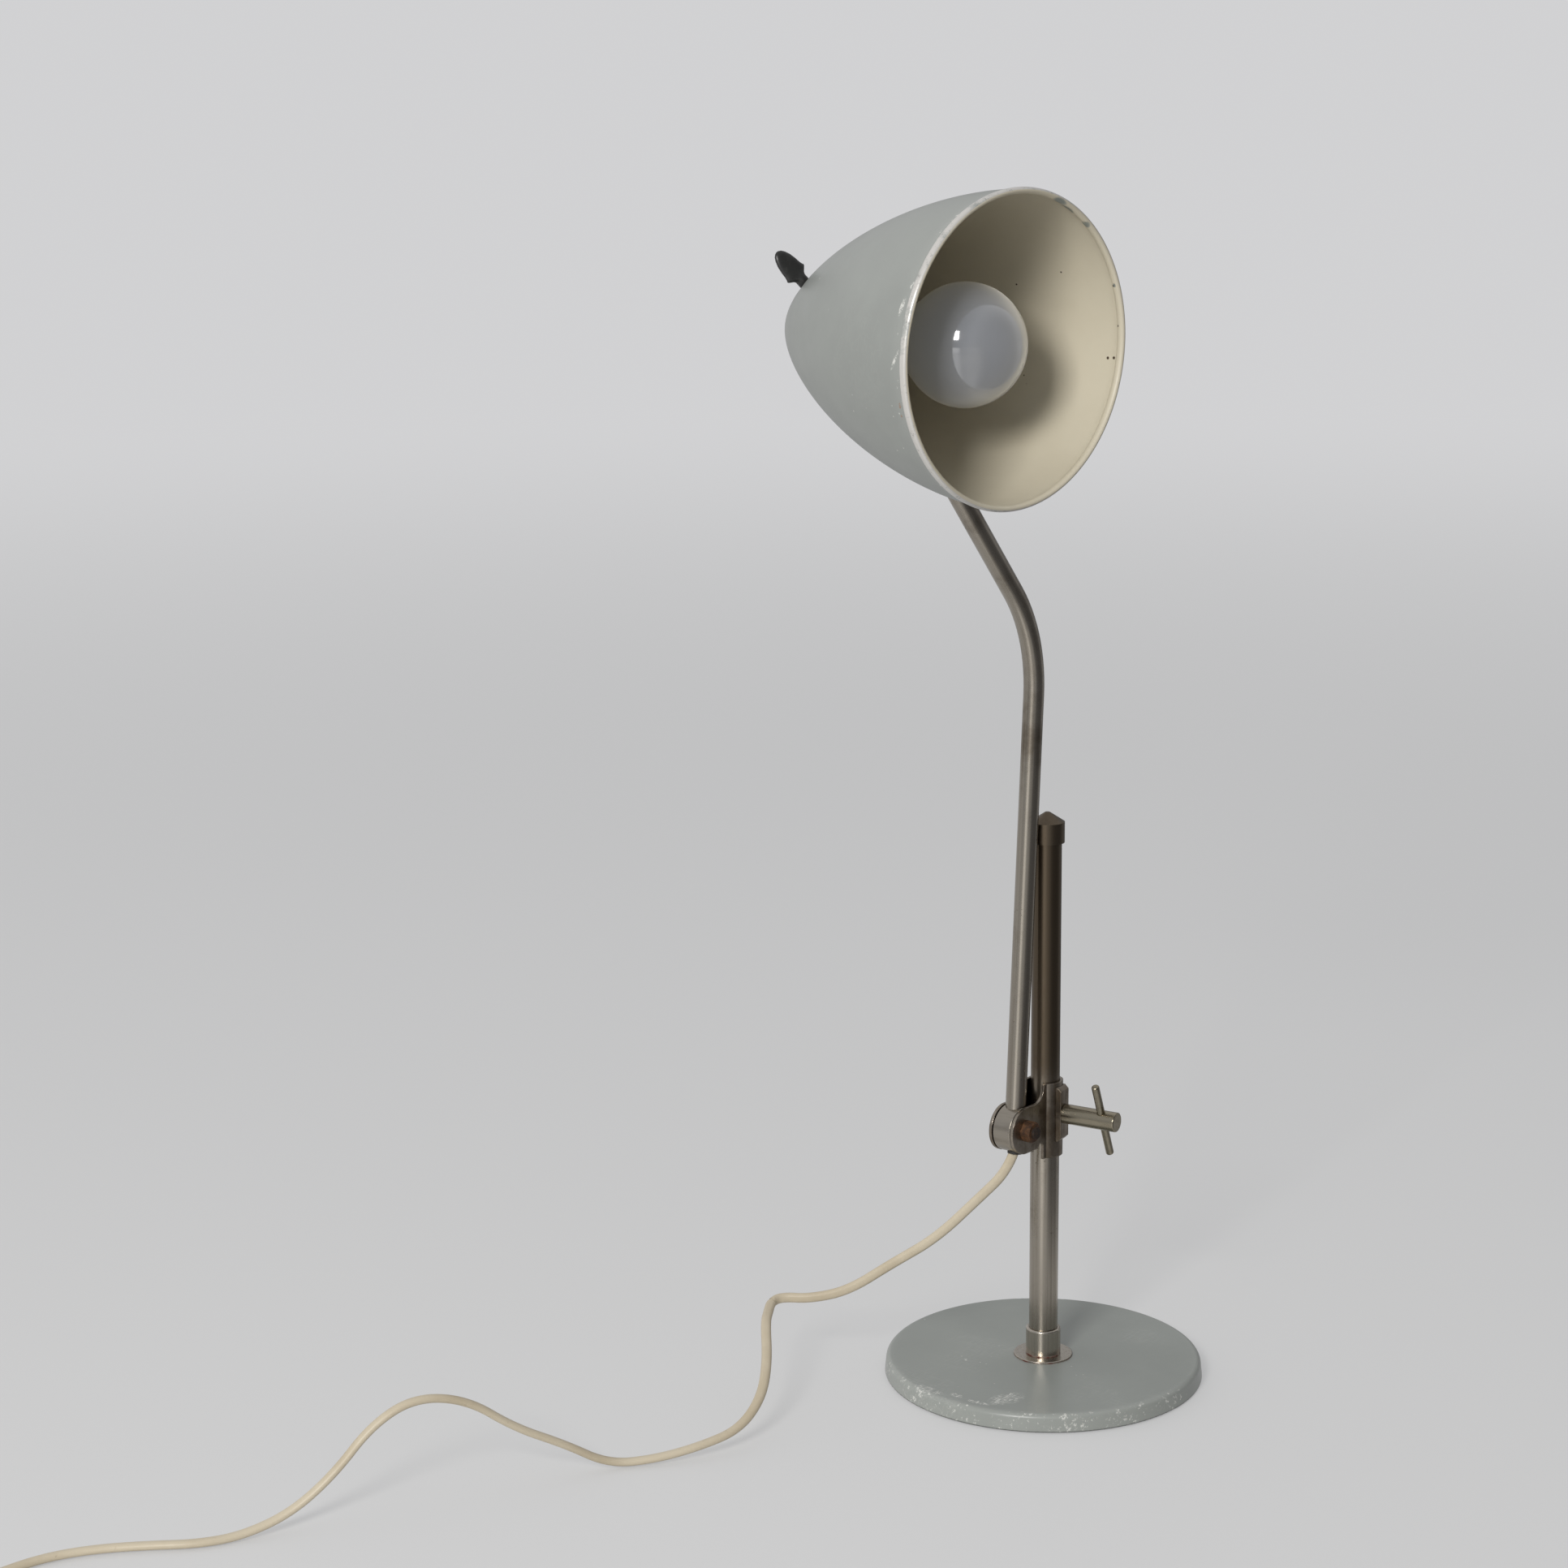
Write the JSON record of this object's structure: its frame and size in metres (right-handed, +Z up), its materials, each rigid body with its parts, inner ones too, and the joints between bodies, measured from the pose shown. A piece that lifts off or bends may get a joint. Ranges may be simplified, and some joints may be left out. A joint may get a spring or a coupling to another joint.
{
  "type": "adjustable desk lamp",
  "caption": "Desk lamp with a disc base, round post, sliding clamp with toggle screw, hinged bent arm, and a tilting bell shade over an opal globe bulb, with a mains cord.",
  "frame": {"origin": "middle of the base's underside, on the plane that the lamp stands on", "axes": "+Z up along the post, +X from the post towards the hinge drum, +Y along the hinge bolt towards its nut"},
  "size_m": [0.7204, 0.3364, 0.6073],
  "materials": {
    "base_paint": "grey-green satin paint on cast iron, chipped at the edge",
    "felt": "felt",
    "steel": "plain steel",
    "nickel": "worn nickel plate on steel",
    "plug_steel": "bare steel",
    "japan": "black stoved enamel on steel",
    "rust": "rusted steel",
    "fibre": "vulcanised fibre",
    "shade_paint": "grey-green satin paint outside, cream inside",
    "bakelite": "black moulded plastic",
    "bush": "rubber bush",
    "brass": "plain brass",
    "bulb_metal": "thin rolled metal",
    "ceramic": "unglazed porcelain",
    "opal_glass": "opal glass",
    "clear_glass": "clear glass",
    "wire": "thin wire",
    "flex": "cream plastic flex",
    "plug_plastic": "cream moulded plastic",
    "tie": "black strap"
  },
  "bodies": {
    "base": {"base_disc": "base_paint", "base_felt": "felt", "base_bolt": "steel", "base_washer": "steel", "flange_washer": "nickel", "post_ferrule": "nickel", "cord_drop": "flex", "cord_on_table": "flex", "cord_coil": "flex", "coil_tie": "tie", "plug_body": "plug_plastic", "plug_pins": "brass"},
    "column": {"post_tube": "nickel", "post_plug": "plug_steel", "post_cap": "nickel"},
    "clamp": {"clamp_strap": "nickel", "clamp_boss": "nickel", "friction_washers": "fibre", "hinge_bolt": "steel", "hinge_nut": "rust"},
    "toggle": {"toggle_screw": "nickel", "toggle_bar": "nickel"},
    "arm": {"hinge_drum": "nickel", "drum_lid": "nickel", "outlet_bush": "bush", "drum_flex": "flex", "arm_tube": "nickel", "arm_flex": "flex", "arm_sleeve": "nickel", "swivel_grub": "steel"},
    "knuckle": {"knuckle": "nickel"},
    "head": {"shade": "shade_paint", "shade_fork": "nickel", "tilt_screw": "nickel", "tilt_washer": "steel", "tilt_nut": "nickel", "fork_screws": "nickel", "holder_bracket": "japan", "holder_body": "bakelite", "holder_cap": "bakelite", "socket_shell": "brass", "socket_base": "ceramic", "centre_contact": "brass", "switch_block": "bakelite", "terminal_screws": "brass", "lamp_lead": "flex", "bulb_glass": "opal_glass", "bulb_cap": "bulb_metal", "bulb_insulator": "bakelite", "bulb_tip": "brass", "bulb_stem": "clear_glass", "bulb_filament": "wire"},
    "key": {"switch_key": "bakelite"}
  },
  "joints": [
    {"name": "post_turn", "type": "hinge", "parent": "base", "child": "column", "pos_m": [0, 0, 0], "axis": [0, 0, 1], "range_deg": [-90, 90], "deforming": ["cord_drop"]},
    {"name": "clamp_slide", "type": "slide", "parent": "column", "child": "clamp", "axis": [0, 0, 1], "range_m": [-0.008, 0.1], "deforming": ["cord_drop"]},
    {"name": "toggle_turn", "type": "hinge", "parent": "clamp", "child": "toggle", "pos_m": [0, 0, 0.1405], "axis": [-0.1392, 0.9903, 0], "range_deg": [-30, 360]},
    {"name": "arm_hinge", "type": "hinge", "parent": "clamp", "child": "arm", "pos_m": [0.0239, -0.0016, 0.1367], "axis": [0, 1, 0], "range_deg": [0, 72], "deforming": ["cord_drop"]},
    {"name": "shade_swivel", "type": "hinge", "parent": "arm", "child": "knuckle", "pos_m": [0.10231, -0.0016, 0.49649], "axis": [0.6481, 0, 0.7615], "range_deg": [-120, 120]},
    {"name": "shade_tilt", "type": "hinge", "parent": "knuckle", "child": "head", "pos_m": [0.10231, -0.0016, 0.49649], "axis": [-0.7562, 0.1182, 0.6436], "range_deg": [-55, 65]},
    {"name": "switch_turn", "type": "hinge", "parent": "head", "child": "key", "pos_m": [0.15527, -0.02611, 0.56323], "axis": [0.5607, -0.3901, 0.7304], "range_deg": [0, 90]}
  ]
}
